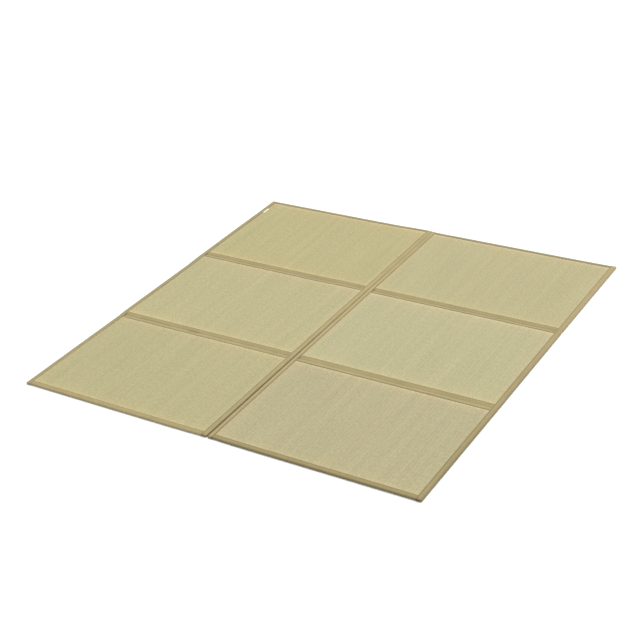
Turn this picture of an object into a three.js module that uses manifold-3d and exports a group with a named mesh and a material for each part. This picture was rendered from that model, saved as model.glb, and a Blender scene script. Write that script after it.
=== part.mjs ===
// Folding tatami mat for two: six rush panels in two columns of three.
// Each column is bound with cloth tape on its four sides and hinged by two cross tapes.
// A long slit parts the columns, and one wide tape joins them along the back.
// Millimetres, +Z up, +X across the columns, +Y to the joined back edge.
// The origin is under the middle of the mat, on the floor.
import * as THREE from 'three';
import { mergeVertices } from 'three/addons/utils/BufferGeometryUtils.js';
import Module from 'manifold-3d';

const wasm = await Module();
wasm.setup();

// Overall size
const MAT_WIDTH = 1764; // at its widest, across the front
const MAT_LENGTH = 1800;
const MAT_HEIGHT = 8; // over the tapes
const CLEARANCE = 0.3; // between two pieces
const RIM_CLEARANCE = 0.35; // between a panel's rim and the tape folded over it

// The soft edge: half an ellipse, this long and as high as the mat
const NOSE_LENGTH = 7;
const SLIT_NOSE_LENGTH = 3.5; // the edges along the slit are folded tighter
const NOSE_STEPS = 4; // flats in a quarter of the nose
const CORNER_RADIUS = 6; // the columns' corners, seen from above

// Binding tape
const TAPE_THICKNESS = 0.9;
const TAPE_WIDTH = 23.5; // on the top and again underneath
const END_TAPE_WIDTH = { front: 23.5, back: 20 };
const SLIT_TAPE_WIDTH = { left: 24, right: 22.5 };
const TAPE_END_PROUD = 1.2; // a side tape's folded end stands beyond the end tapes
const HINGE_TAPE_WIDTH = [45, 42];

// The middle of the mat
const SEAM_X = -2.5; // where the columns meet
const SEAM_GAP = 0.6; // with the columns pushed together
const SLIT_END_Y = 450; // the join tape starts here
const SLIT_OPENING = 3; // how much further the columns part at the front

// The folds between front and middle and between middle and back panels
const HINGE_Y = [-295, 303];
const HINGE_GAP = 0.6;
const CREASE = { depth: 2.2, halfWidth: 16 };
const JOIN_CREASE = { depth: 1.2, halfWidth: 9 };
const CREASE_STEPS = 6; // flats across a crease

// The woven rush: ribs along Y over the warp cords
const FIELD_HEIGHT = 7.7;
const RIB_PITCH = 15;
const RIB_GROOVE_DEPTH = 0.7;
const RIB_GROOVE_HALF_WIDTH = 1.6;

// Sewn label beside the outer left tape
const LABEL = { width: 12, length: 46, thickness: 1, middleY: 786 };

// How uneven the mat lies
const EDGE_DRAWN_IN = { // [y, how far the outer edge is drawn in]
  left: [[-920, 0], [-320, 7.8], [-270, 5.2], [180, 9.3], [270, 6.8], [600, 7], [750, 8.3], [920, 8]],
  right: [[-920, 0], [-270, 0.2], [270, 1.7], [920, 1.5]],
};
const BACK_PROUD = { out: 5.8, x: -28, leftFade: 115, rightFade: 36, from: 600 };
const BACK_CORNER_PROUD = { out: 4.6, fade: 60 }; // the right one
const FRONT_DRAWN_IN = { by: 2.8, fade: 85, to: -700 }; // at the slit
const FRONT_CORNER_DRAWN_IN = { by: 1.8, fade: 350 }; // the left one
// Each fold lies nearer to the front at its left end, and straight again at its right
const FOLD_DRIFT = [{ by: -3, x: -450, over: 200 }, { by: -3.7, x: -180, over: 60 }];
const DRIFT_REACH = 150; // the panels take it up over this length

// Edges of the sewn mat, inside the folded tape ends
const FRONT_Y = -MAT_LENGTH / 2 + TAPE_END_PROUD;
const BACK_Y = MAT_LENGTH / 2 - BACK_PROUD.out;
const TAPE_FRONT_Y = -MAT_LENGTH / 2;
const TAPE_BACK_Y = BACK_Y + TAPE_END_PROUD;
const RIM_INSET = TAPE_THICKNESS + RIM_CLEARANCE;
const RIM_TOP = MAT_HEIGHT - RIM_INSET;
const MIDDLE_Z = MAT_HEIGHT / 2;
const LAP_Z = 0.2; // the field and the sole of a panel end this far from the middle height

// Where a long run is divided: the uneven lines go straight from one station to the next
const STATIONS_X = [-900, -660, -500, -350, -200, -100, -28, SEAM_X, 22, 60, 160, 450, 780, 900];
const STATIONS_Y = [-920, -750, -450, -320, -270, 0, 180, 270, SLIT_END_Y, 600, 750, 920];
const STATION_MARGIN = 0.5; // a station this near to the end of a run is left out
const BEYOND = 12; // how far a cutting shape reaches past what it cuts

// Each column with its two side tapes, from left to right
const COLUMNS = [
  {
    side: 'left',
    x0: -MAT_WIDTH / 2,
    x1: SEAM_X - SEAM_GAP / 2,
    tape0: { name: 'outer', width: TAPE_WIDTH, nose: NOSE_LENGTH },
    tape1: { name: 'slit', width: SLIT_TAPE_WIDTH.left, nose: SLIT_NOSE_LENGTH },
  },
  {
    side: 'right',
    x0: SEAM_X + SEAM_GAP / 2,
    x1: MAT_WIDTH / 2,
    tape0: { name: 'slit', width: SLIT_TAPE_WIDTH.right, nose: SLIT_NOSE_LENGTH },
    tape1: { name: 'outer', width: TAPE_WIDTH, nose: NOSE_LENGTH },
  },
];
const FRONT_END = { y: FRONT_Y, bound: true, covered: END_TAPE_WIDTH.front };
const BACK_END = { y: BACK_Y, bound: true, covered: END_TAPE_WIDTH.back };
const FOLDS = HINGE_Y.map((y, k) => ({ y, bound: false, covered: HINGE_TAPE_WIDTH[k] / 2 }));
const ROWS = [
  { name: 'front', start: FRONT_END, end: FOLDS[0] },
  { name: 'middle', start: FOLDS[0], end: FOLDS[1] },
  { name: 'back', start: FOLDS[1], end: BACK_END },
];
const JOIN = { x0: SEAM_X - SLIT_TAPE_WIDTH.left, x1: SEAM_X + SLIT_TAPE_WIDTH.right };

const RUSH = { color: 0xc2b78d, roughness: 0.8, metalness: 0 };
const CLOTH = { color: 0xa79a72, roughness: 0.95, metalness: 0 };
const LABEL_CLOTH = { color: 0xeeeadf, roughness: 0.9, metalness: 0 };

// The uneven lie of the mat

// A curve drawn straight between stations, so that all pieces follow the same line
function straightened(stations, curve) {
  return (s) => {
    const next = Math.max(1, stations.findIndex((station) => station >= s));
    const from = stations[next - 1];
    const to = stations[next];
    return THREE.MathUtils.mapLinear(s, from, to, curve(from), curve(to));
  };
}

function slitHalf(y) {
  return SLIT_OPENING / 2 * share(y, SLIT_END_Y, STATIONS_Y[0]);
}

function drawnIn(side) {
  const table = new Map(EDGE_DRAWN_IN[side]);
  return straightened([...table.keys()], (y) => table.get(y));
}

// A bulge that fades to both sides, with a round top
function bulge(distance, fade) {
  return Math.exp(-((distance / fade) ** 2));
}

const DRAWN_IN = { left: drawnIn('left'), right: drawnIn('right') };
const foldDrift = FOLD_DRIFT.map(({ by, x: middle, over }) => (
  straightened(STATIONS_X, (x) => by * (1 - Math.tanh((x - middle) / over)) / 2)));
const backProud = straightened(STATIONS_X, (x) => {
  const fade = x < BACK_PROUD.x ? BACK_PROUD.leftFade : BACK_PROUD.rightFade;
  const fromCorner = Math.max(0, MAT_WIDTH / 2 - x);
  return BACK_PROUD.out * bulge(x - BACK_PROUD.x, fade)
    + BACK_CORNER_PROUD.out * Math.exp(-fromCorner / BACK_CORNER_PROUD.fade);
});
const frontDrawnIn = straightened(STATIONS_X, (x) => {
  const fromCorner = Math.max(0, MAT_WIDTH / 2 + x);
  return FRONT_DRAWN_IN.by * bulge(x - SEAM_X, FRONT_DRAWN_IN.fade)
    + FRONT_CORNER_DRAWN_IN.by * Math.exp(-fromCorner / FRONT_CORNER_DRAWN_IN.fade);
});

// Runs from 0 to 1 between two places
function share(value, from, to) {
  return THREE.MathUtils.clamp((value - from) / (to - from), 0, 1);
}

// Moves a point of the straight mat to where it lies on the uneven one
function uneven(point) {
  const { x, y } = point;
  const side = x < SEAM_X ? 'left' : 'right';
  const outward = side === 'left' ? -1 : 1;
  const outerX = outward * MAT_WIDTH / 2;
  const reach = share(x, SEAM_X, outerX);
  point.x += outward * (slitHalf(y) * (1 - reach) - DRAWN_IN[side](y) * reach);
  point.y += backProud(x) * share(y, BACK_PROUD.from, BACK_Y);
  point.y += frontDrawnIn(x) * share(y, FRONT_DRAWN_IN.to, FRONT_Y);
  HINGE_Y.forEach((fold, k) => {
    point.y += foldDrift[k](x) * share(Math.abs(y - fold), DRIFT_REACH, HINGE_TAPE_WIDTH[k] / 2);
  });
  return point;
}

// Building blocks

function between(stations, from, to) {
  return [from, ...stations.filter((s) => s > from + STATION_MARGIN && s < to - STATION_MARGIN), to];
}

// Sends every point of a geometry through a function and keeps one vertex for each place
function moved(geometry, move) {
  const position = geometry.attributes.position;
  const point = new THREE.Vector3();
  for (let i = 0; i < position.count; i++) {
    point.fromBufferAttribute(position, i);
    move(point);
    position.setXYZ(i, point.x, point.y, point.z);
  }
  geometry.deleteAttribute('normal');
  geometry.deleteAttribute('uv');
  return mergeVertices(geometry);
}

// Carries a shape along X (its own axes are Y and Z) or along Y (its own axes are X and Z)
function run(shape, axis, stations, lie = uneven) {
  const steps = stations.length - 1;
  const geometry = new THREE.ExtrudeGeometry(shape, {
    depth: steps, steps, bevelEnabled: false, curveSegments: NOSE_STEPS,
  });
  return moved(geometry, (point) => {
    const step = Math.round(point.z);
    if (axis === 'x') {
      point.set(stations[step], point.x, point.y);
    } else {
      point.set(point.x, stations[steps - step], point.y);
    }
    lie(point);
  });
}

// A plain slab whose four sides follow the uneven lines
function slab(x0, x1, y0, y1, z0, z1) {
  const alongX = between(STATIONS_X, x0, x1);
  const alongY = between(STATIONS_Y, y0, y1);
  const stepsX = alongX.length - 1;
  const stepsY = alongY.length - 1;
  const geometry = new THREE.BoxGeometry(stepsX, stepsY, 1, stepsX, stepsY, 1);
  geometry.translate(stepsX / 2, stepsY / 2, 0);
  return moved(geometry, (point) => {
    const z = point.z < 0 ? z0 : z1;
    uneven(point.set(alongX[Math.round(point.x)], alongY[Math.round(point.y)], z));
  });
}

// Section of the whole mat between two soft edges, drawn in by an inset all round
function pillow(a0, a1, nose0, nose1, inset) {
  const shape = new THREE.Shape();
  const high = MIDDLE_Z - inset;
  const right = Math.PI / 2;
  shape.moveTo(a0 + nose0, inset);
  shape.lineTo(a1 - nose1, inset);
  shape.absellipse(a1 - nose1, MIDDLE_Z, nose1 - inset, high, -right, right, false);
  shape.lineTo(a0 + nose0, MAT_HEIGHT - inset);
  shape.absellipse(a0 + nose0, MIDDLE_Z, nose0 - inset, high, right, 3 * right, false);
  return shape;
}

function solid(geometry) {
  return new wasm.Manifold(new wasm.Mesh({
    numProp: 3,
    vertProperties: Float32Array.from(geometry.attributes.position.array),
    triVerts: Uint32Array.from(geometry.index.array),
  }));
}

function geometryOf(manifold) {
  const mesh = manifold.asOriginal().getMesh();
  const geometry = new THREE.BufferGeometry();
  geometry.setAttribute('position', new THREE.BufferAttribute(mesh.vertProperties, 3));
  geometry.setIndex(new THREE.BufferAttribute(mesh.triVerts, 1));
  return geometry;
}

// What a rounded corner leaves over, to be cut away, lying as unevenly as the corner does
function cornerWaste(corner, inX, inY, inset) {
  const radius = CORNER_RADIUS - inset;
  const middle = new THREE.Vector2(corner.x + inX * CORNER_RADIUS, corner.y + inY * CORNER_RADIUS);
  const far = new THREE.Vector2(corner.x - inX * BEYOND, corner.y - inY * BEYOND);
  const outline = [far, new THREE.Vector2(middle.x, far.y)];
  for (let k = 0; k <= NOSE_STEPS; k++) {
    const turn = Math.PI / 2 * k / NOSE_STEPS;
    const x = middle.x - inX * radius * Math.sin(turn);
    const y = middle.y - inY * radius * Math.cos(turn);
    outline.push(new THREE.Vector2(x, y));
  }
  outline.push(new THREE.Vector2(far.x, middle.y));
  const shape = new THREE.Shape(outline);
  const geometry = new THREE.ExtrudeGeometry(shape, { depth: 2 * MAT_HEIGHT, bevelEnabled: false });
  return moved(geometry, (point) => uneven(point.setZ(point.z - MIDDLE_Z)));
}

// A whole column with soft edges, between two ends, drawn in by an inset all round
function columnBody(column, y0, y1, inset) {
  const { x0, x1, tape0, tape1 } = column;
  const stationsX = between(STATIONS_X, x0 - BEYOND, x1 + BEYOND);
  const stationsY = between(STATIONS_Y, y0 - BEYOND, y1 + BEYOND);
  let body = solid(run(pillow(x0, x1, tape0.nose, tape1.nose, inset), 'y', stationsY))
    .intersect(solid(run(pillow(y0, y1, NOSE_LENGTH, NOSE_LENGTH, inset), 'x', stationsX)));
  const middleX = (x0 + x1) / 2;
  for (const cornerX of [x0, x1]) {
    for (const cornerY of [y0, y1]) {
      const corner = new THREE.Vector2(cornerX, cornerY);
      const inX = Math.sign(middleX - cornerX);
      const inY = -Math.sign(cornerY);
      body = body.subtract(solid(cornerWaste(corner, inX, inY, inset)));
    }
  }
  return body;
}

// Depth of a soft crease at a distance from its line
function creaseDrop(crease, distance) {
  const { depth, halfWidth } = crease;
  return Math.abs(distance) < halfWidth ? depth * Math.cos(Math.PI / 2 * distance / halfWidth) ** 2 : 0;
}

// Places across a crease
function creasePlaces(crease, middle) {
  const places = [];
  for (let k = 0; k <= CREASE_STEPS; k++) {
    places.push(middle + crease.halfWidth * (2 * k / CREASE_STEPS - 1));
  }
  return places;
}

// Points across a fold, lowered along the crease
function creaseLine(crease, middle, height) {
  return creasePlaces(crease, middle).map((place) => (
    new THREE.Vector2(place, height - creaseDrop(crease, place - middle))));
}

// Panels

function fieldRange(column, row) {
  return {
    x0: column.x0 + column.tape0.width + CLEARANCE,
    x1: column.x1 - column.tape1.width - CLEARANCE,
    y0: row.start.y + row.start.covered + CLEARANCE,
    y1: row.end.y - row.end.covered - CLEARANCE,
  };
}

// The woven ribs run straight; the binding cuts them off along its own uneven lines
function ribbedField(field) {
  const ribs = Math.round((field.x1 - field.x0) / RIB_PITCH);
  const x0 = field.x0 - RIB_PITCH / 2;
  const x1 = x0 + (ribs + 1) * RIB_PITCH;
  const shape = new THREE.Shape();
  shape.moveTo(x0, MIDDLE_Z + LAP_Z);
  shape.lineTo(x1, MIDDLE_Z + LAP_Z);
  shape.lineTo(x1, FIELD_HEIGHT);
  for (let rib = ribs; rib > 0; rib--) {
    const groove = x0 + rib * RIB_PITCH;
    shape.lineTo(groove + RIB_GROOVE_HALF_WIDTH, FIELD_HEIGHT);
    shape.lineTo(groove, FIELD_HEIGHT - RIB_GROOVE_DEPTH);
    shape.lineTo(groove - RIB_GROOVE_HALF_WIDTH, FIELD_HEIGHT);
  }
  shape.lineTo(x0, FIELD_HEIGHT);
  const straight = (point) => point;
  const ribbed = run(shape, 'y', [field.y0 - BEYOND, field.y1 + BEYOND], straight);
  const outline = slab(field.x0, field.x1, field.y0, field.y1, MIDDLE_Z, MAT_HEIGHT + BEYOND);
  return solid(ribbed).intersect(solid(outline));
}

// What a crease takes off the panels on both sides of its line
function valley(crease, middle, axis, stations) {
  const above = MAT_HEIGHT + BEYOND;
  const shape = new THREE.Shape([
    ...creaseLine(crease, middle, RIM_TOP),
    new THREE.Vector2(middle + crease.halfWidth, above),
    new THREE.Vector2(middle - crease.halfWidth, above),
  ]);
  return solid(run(shape, axis, stations));
}

// Behind the slit no tape goes round the inner edge, so the sole reaches to the seam
function soleAtSeam(column, field) {
  const x0 = column.side === 'left' ? field.x1 - BEYOND : column.x0;
  const x1 = column.side === 'left' ? column.x1 : field.x0 + BEYOND;
  return slab(x0, x1, SLIT_END_Y + CLEARANCE, field.y1, 0, MIDDLE_Z - LAP_Z);
}

function panel(column, row, columnRim) {
  const { start, end } = row;
  const field = fieldRange(column, row);
  const cutY0 = start.bound ? start.y - BEYOND : start.y + HINGE_GAP / 2;
  const cutY1 = end.bound ? end.y + BEYOND : end.y - HINGE_GAP / 2;
  const slice = slab(column.x0 - BEYOND, column.x1 + BEYOND, cutY0, cutY1, -BEYOND, MAT_HEIGHT + BEYOND);
  let body = columnRim.intersect(solid(slice));
  for (const fold of [start, end].filter(({ bound }) => !bound)) {
    const stations = between(STATIONS_X, column.x0 - BEYOND, column.x1 + BEYOND);
    body = body.subtract(valley(CREASE, fold.y, 'x', stations));
  }
  if (row.name === 'back') {
    const stations = between(STATIONS_Y, SLIT_END_Y, BACK_Y + BEYOND);
    body = body.subtract(valley(JOIN_CREASE, SEAM_X, 'y', stations));
  }
  body = body.add(ribbedField(field));
  const soleY0 = start.bound ? field.y0 : cutY0;
  const soleY1 = end.bound ? field.y1 : cutY1;
  body = body.add(solid(slab(field.x0, field.x1, soleY0, soleY1, 0, MIDDLE_Z - LAP_Z)));
  if (row.name === 'back') {
    body = body.add(solid(soleAtSeam(column, field)));
  }
  return geometryOf(body);
}

// Tapes

// A tape folded round a long edge, with closed ends; a slit tape stops where the join tape starts
function sideTape(column, name, x0, x1, columnHollow) {
  const whole = columnBody(column, TAPE_FRONT_Y, TAPE_BACK_Y, 0);
  const y1 = name === 'slit' ? SLIT_END_Y : TAPE_BACK_Y + BEYOND;
  const strip = slab(x0, x1, TAPE_FRONT_Y - BEYOND, y1, -BEYOND, MAT_HEIGHT + BEYOND);
  return geometryOf(whole.intersect(solid(strip)).subtract(columnHollow));
}

// A tape folded round the front or back edge, with the places of its top leg from its end to the nose
function foldedTape(edgeY, topPlaces, bottomEndY, stations, lie) {
  const inward = -Math.sign(edgeY);
  const noseY = edgeY + inward * NOSE_LENGTH;
  const shape = new THREE.Shape();
  shape.moveTo(topPlaces[0], MAT_HEIGHT);
  for (const y of topPlaces) {
    shape.lineTo(y, MAT_HEIGHT - TAPE_THICKNESS);
  }
  shape.lineTo(noseY, MAT_HEIGHT - TAPE_THICKNESS);
  const up = Math.PI / 2;
  const down = inward < 0 ? -Math.PI / 2 : Math.PI * 3 / 2;
  const inner = { long: NOSE_LENGTH - TAPE_THICKNESS, high: MIDDLE_Z - TAPE_THICKNESS };
  shape.absellipse(noseY, MIDDLE_Z, inner.long, inner.high, up, down, inward < 0);
  shape.lineTo(bottomEndY, TAPE_THICKNESS);
  shape.lineTo(bottomEndY, 0);
  shape.lineTo(noseY, 0);
  shape.absellipse(noseY, MIDDLE_Z, NOSE_LENGTH, MIDDLE_Z, down, up, inward > 0);
  for (const y of topPlaces.slice(1).reverse()) {
    shape.lineTo(y, MAT_HEIGHT);
  }
  return run(shape, 'x', stations, lie);
}

function endTape(column, edgeY) {
  const legY = edgeY < 0 ? edgeY + END_TAPE_WIDTH.front : edgeY - END_TAPE_WIDTH.back;
  let x0 = column.x0 + column.tape0.width + CLEARANCE;
  let x1 = column.x1 - column.tape1.width - CLEARANCE;
  if (edgeY > 0 && column.side === 'left') {
    x1 = JOIN.x0 - CLEARANCE;
  }
  if (edgeY > 0 && column.side === 'right') {
    x0 = JOIN.x1 + CLEARANCE;
  }
  return foldedTape(edgeY, [legY], legY, between(STATIONS_X, x0, x1));
}

function joinTape() {
  const crease = creasePlaces(JOIN_CREASE, SEAM_X);
  const stations = [...between(STATIONS_X, JOIN.x0, crease[0]), ...crease.slice(1), JOIN.x1];
  const legY = BACK_Y - END_TAPE_WIDTH.back;
  const creased = (point) => {
    if (point.z > MIDDLE_Z && point.y <= legY) {
      point.z -= creaseDrop(JOIN_CREASE, point.x - SEAM_X);
    }
    uneven(point);
  };
  return foldedTape(BACK_Y, [SLIT_END_Y + CLEARANCE, legY], legY, stations, creased);
}

// A flat tape over the joint of two panels, pressed down along its crease
function hingeTape(column, fold, width) {
  const half = width / 2;
  const above = creaseLine(CREASE, fold, MAT_HEIGHT);
  const below = creaseLine(CREASE, fold, MAT_HEIGHT - TAPE_THICKNESS).reverse();
  const shape = new THREE.Shape([
    new THREE.Vector2(fold - half, MAT_HEIGHT), ...above, new THREE.Vector2(fold + half, MAT_HEIGHT),
    new THREE.Vector2(fold + half, MAT_HEIGHT - TAPE_THICKNESS), ...below,
    new THREE.Vector2(fold - half, MAT_HEIGHT - TAPE_THICKNESS),
  ]);
  const field = fieldRange(column, ROWS[1]);
  return run(shape, 'x', between(STATIONS_X, field.x0, field.x1));
}

function label() {
  const x0 = COLUMNS[0].x0 + TAPE_WIDTH + CLEARANCE;
  const y0 = LABEL.middleY - LABEL.length / 2;
  const z0 = FIELD_HEIGHT + CLEARANCE;
  return slab(x0, x0 + LABEL.width, y0, y0 + LABEL.length, z0, z0 + LABEL.thickness);
}

// The mat

const mat = new THREE.Group();

function place(name, geometry, finish) {
  geometry.computeVertexNormals();
  const mesh = new THREE.Mesh(geometry, new THREE.MeshStandardMaterial(finish));
  mesh.name = name;
  mat.add(mesh);
}

for (const column of COLUMNS) {
  const rim = columnBody(column, FRONT_Y, BACK_Y, RIM_INSET);
  const hollow = columnBody(column, FRONT_Y, BACK_Y, TAPE_THICKNESS);
  for (const row of ROWS) {
    place(`panel_${column.side}_${row.name}`, panel(column, row, rim), RUSH);
  }
  const { tape0, tape1 } = column;
  for (const [tape, x0, x1] of [
    [tape0, column.x0 - BEYOND, column.x0 + tape0.width],
    [tape1, column.x1 - tape1.width, column.x1 + BEYOND],
  ]) {
    place(`tape_${column.side}_${tape.name}`, sideTape(column, tape.name, x0, x1, hollow), CLOTH);
  }
  place(`tape_${column.side}_front`, endTape(column, FRONT_Y), CLOTH);
  place(`tape_${column.side}_back`, endTape(column, BACK_Y), CLOTH);
  HINGE_Y.forEach((fold, k) => {
    place(`hinge_tape_${column.side}_${k + 1}`, hingeTape(column, fold, HINGE_TAPE_WIDTH[k]), CLOTH);
  });
}
place('join_tape', joinTape(), CLOTH);
place('label', label(), LABEL_CLOTH);

export default mat;
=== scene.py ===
"""A folding tatami mat for two, dressed round its packed construction.

Six woven rush panels lie in two columns of three. Cloth tape binds each column and hinges its panels,
and one wide tape joins the two columns behind the slit.
Metres, +Z up, +X across the columns, +Y to the joined back edge.
"""
import math
from typing import NamedTuple

import bmesh
import bpy
import numpy as np
from mathutils import Matrix, Vector


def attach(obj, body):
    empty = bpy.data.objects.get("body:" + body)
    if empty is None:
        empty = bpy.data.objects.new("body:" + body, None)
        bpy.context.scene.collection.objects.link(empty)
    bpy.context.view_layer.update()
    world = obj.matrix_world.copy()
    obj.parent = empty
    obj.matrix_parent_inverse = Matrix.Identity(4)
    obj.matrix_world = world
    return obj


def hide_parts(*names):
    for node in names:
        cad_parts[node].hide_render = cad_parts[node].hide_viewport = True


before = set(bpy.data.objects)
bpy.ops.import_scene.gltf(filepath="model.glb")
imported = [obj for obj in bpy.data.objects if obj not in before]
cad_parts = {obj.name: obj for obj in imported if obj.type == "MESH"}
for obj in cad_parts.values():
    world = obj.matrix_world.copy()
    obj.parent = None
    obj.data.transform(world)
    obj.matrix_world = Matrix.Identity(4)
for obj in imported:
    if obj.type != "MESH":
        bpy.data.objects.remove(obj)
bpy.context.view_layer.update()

# The mat as it is built
MAT_WIDTH = 1.764  # at its widest, across the front
MAT_LENGTH = 1.8
MAT_HEIGHT = 0.008  # over the tapes
MIDDLE_Z = MAT_HEIGHT / 2
NOSE_LENGTH = 0.007  # of the rounded edge, seen from above
SLIT_NOSE_LENGTH = 0.0035
CORNER_RADIUS = 0.006
TAPE_THICKNESS = 0.0009
TAPE_WIDTH = 0.0235
END_TAPE_WIDTH = {"front": 0.0235, "back": 0.02}
SLIT_TAPE_WIDTH = {"left": 0.024, "right": 0.0225}
TAPE_END_PROUD = 0.0012
HINGE_TAPE_WIDTH = (0.045, 0.042)
HINGE_Y = (-0.295, 0.303)
HINGE_GAP = 0.0006
SEAM_X = -0.0025
SEAM_GAP = 0.0006
SLIT_END_Y = 0.45
SLIT_OPENING = 0.003
CLEARANCE = 0.0003
FIELD_HEIGHT = 0.0077  # of the rush between the tapes
RIB_PITCH = 0.015
LABEL = {"width": 0.012, "length": 0.046, "middle_y": 0.786}

# How uneven it lies
WIDEST_Y = -0.92
EDGE_DRAWN_IN = {  # at each y, how far the outer edge is drawn in
    "left": (
        (WIDEST_Y, -0.32, -0.27, 0.18, 0.27, 0.6, 0.75, 0.92),
        (0, 0.0078, 0.0052, 0.0093, 0.0068, 0.007, 0.0083, 0.008),
    ),
    "right": ((WIDEST_Y, -0.27, 0.27, 0.92), (0, 0.0002, 0.0017, 0.0015)),
}
BACK_PROUD = {"out": 0.0058, "x": -0.028, "left_fade": 0.115, "right_fade": 0.036, "from": 0.6}
BACK_CORNER_PROUD = {"out": 0.0046, "fade": 0.06}
FRONT_DRAWN_IN = {"by": 0.0028, "fade": 0.085, "to": -0.7}
FRONT_CORNER_DRAWN_IN = {"by": 0.0018, "fade": 0.35}
FOLD_DRIFT = ({"by": -0.003, "x": -0.45, "over": 0.2}, {"by": -0.0037, "x": -0.18, "over": 0.06})
DRIFT_REACH = 0.15

FRONT_Y = -MAT_LENGTH / 2 + TAPE_END_PROUD
BACK_Y = MAT_LENGTH / 2 - BACK_PROUD["out"]
TAPE_FRONT_Y = -MAT_LENGTH / 2
TAPE_BACK_Y = BACK_Y + TAPE_END_PROUD

# The soft shapes that only the looks have
RIM_INSET = 0.00125
RIM_HALF = 0.0024  # half the height of a panel's rim inside the folded tape
CREASE = {"depth": 0.0026, "reach": 0.022, "pinch": 0.0006, "pinch_reach": 0.003}
JOIN_CREASE = {"depth": 0.0014, "reach": 0.012, "pinch": 0.0005, "pinch_reach": 0.003}
RIM_UNDER_CREASE = 1.35  # how much deeper than the tape a panel's rim is pressed
SEAM_INSET = 0.0028  # from the edge of a tape to its row of stitches
SEAM_DIP = 0.0006
SEAM_REACH = 0.0013
PRESSED = {"far": 0.0006, "near": 0.0001, "side": 0.00015, "over": 0.012}  # the rush beside a tape
RIB = {"groove": 0.0006, "crown": 0.00012, "groove_reach": 0.09}  # the reach is a share of the pitch
CUT_EDGE = {"drop": 0.00025, "reach": 0.0003}  # a tape's cut edge is pressed down
SLACK = 0.00012  # how far a tape's middle sags on average
TOP_SHARE = 0.6  # of the nose's height: a folded tape sags and dips from here up
STILL = {"folded": 0.001, "hinge": 0.002}  # so near to its cut edge a tape doesn't waver
STITCH = {"length": 0.0034, "pitch": 0.0052, "radius": 0.0003, "rise": 0.0001}
STITCH_RINGS = ((-0.3, 0.8), (0.0, 1.0), (0.3, 0.8))  # place along the stitch and share of its radius
STITCH_SIDES = 4
UNSEWN = {"closed": 0.006, "open": 0.002, "join": 0.003}  # from a tape's end to its row of stitches
LABEL_CLOTH = {"thickness": 0.0002, "loop": 0.00042, "off_rush": 0.00005, "pressed": 0.9}
LABEL_LIFT = {"size": 0.00006, "radians": 260}  # waves along it, in radians for each metre

# Unevenness along a line: its longest wave and its size
RIPPLE_ALONG = (0.09, 0.00008)
RIPPLE_ACROSS = (0.11, 0.00008)
RIPPLE_SLANT = 0.3  # how far the first ripple leans over to X
SLACK_WAVER = (0.12, 0.00012)
EDGE_WAVER = (0.2, 0.0002)
HINGE_WAVER = (0.25, 0.0004)
CREASE_WAVER = (0.3, 0.25)  # the size as a share of the crease's depth
SHADE_WAVER = (0.4, 0.3)  # the size as a share of the shade
SINES = {"count": 6, "shorter": 1.7, "lower": 1.3}  # shorter and lower than the one before

# Where the random draws of each kind of piece start, and what its further draws add
SEEDS = {"side": 40, "hinge": 70, "front": 100, "back": 120, "join": 140}
NEXT_SEED = {"field": 1, "hinge_edge": 2, "shade": 3, "edge": 5}

# The lines of the meshes, closer together where the form turns
NOSE_STEPS = 6
TAPE_STEP = 0.01
ROW_STEP = 0.0062
LABEL_STEP = 0.004
LABEL_LINES = {"turn": 7, "layer": 5}
FLAT_LINES = 4
RIB_LINES = np.array([0.0, 0.07, 0.15, 0.35, 0.65, 0.85, 0.93])  # in shares of the pitch
SEAM_LINES = np.array([-2.4, -1.5, -0.8, 0.0, 0.8, 1.5]) * SEAM_REACH  # from a row of stitches
SEAM_LINES_REACH = 3.2 * SEAM_REACH  # the even lines end so far before the row
FOLD_LINES = np.array([0.0, 0.0012, 0.003, 0.0055, 0.009, 0.013])  # from the middle of a fold
JOINT_LINES = (0.0, 0.0015, 0.004, 0.009, 0.016)  # from the joint of two panels
JOIN_EDGE_LINES = np.array([0, 0.0005, 0.0013, 0.002, 0.0028, 0.0036, 0.0045, 0.006])
CUT_EDGE_LINE = 0.0004  # from a tape's cut edge
JOIN_SEAM_POINTS = 80
WELD = 2e-6
SHARP_ANGLE = math.radians(50)

# A column's two long edges from left to right, each with its tape: name, width and nose
COLUMNS = {
    "left": {
        "x": (-MAT_WIDTH / 2, SEAM_X - SEAM_GAP / 2),
        "tapes": (
            ("outer", TAPE_WIDTH, NOSE_LENGTH),
            ("slit", SLIT_TAPE_WIDTH["left"], SLIT_NOSE_LENGTH),
        ),
    },
    "right": {
        "x": (SEAM_X + SEAM_GAP / 2, MAT_WIDTH / 2),
        "tapes": (
            ("slit", SLIT_TAPE_WIDTH["right"], SLIT_NOSE_LENGTH),
            ("outer", TAPE_WIDTH, NOSE_LENGTH),
        ),
    },
}
ROWS = {  # each row's two ends, and whether a tape is folded round them
    "front": {"y": (FRONT_Y, HINGE_Y[0]), "bound": (True, False)},
    "middle": {"y": HINGE_Y, "bound": (False, False)},
    "back": {"y": (HINGE_Y[1], BACK_Y), "bound": (False, True)},
}
INWARD = (1, -1)  # from the first and from the second of two edges
COVERED = {  # how far the tapes lie over the rush from each line across the mat
    FRONT_Y: END_TAPE_WIDTH["front"],
    HINGE_Y[0]: HINGE_TAPE_WIDTH[0] / 2,
    HINGE_Y[1]: HINGE_TAPE_WIDTH[1] / 2,
    BACK_Y: END_TAPE_WIDTH["back"],
}
JOIN_X = (SEAM_X - SLIT_TAPE_WIDTH["left"], SEAM_X + SLIT_TAPE_WIDTH["right"])


# The colours and the looks

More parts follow.
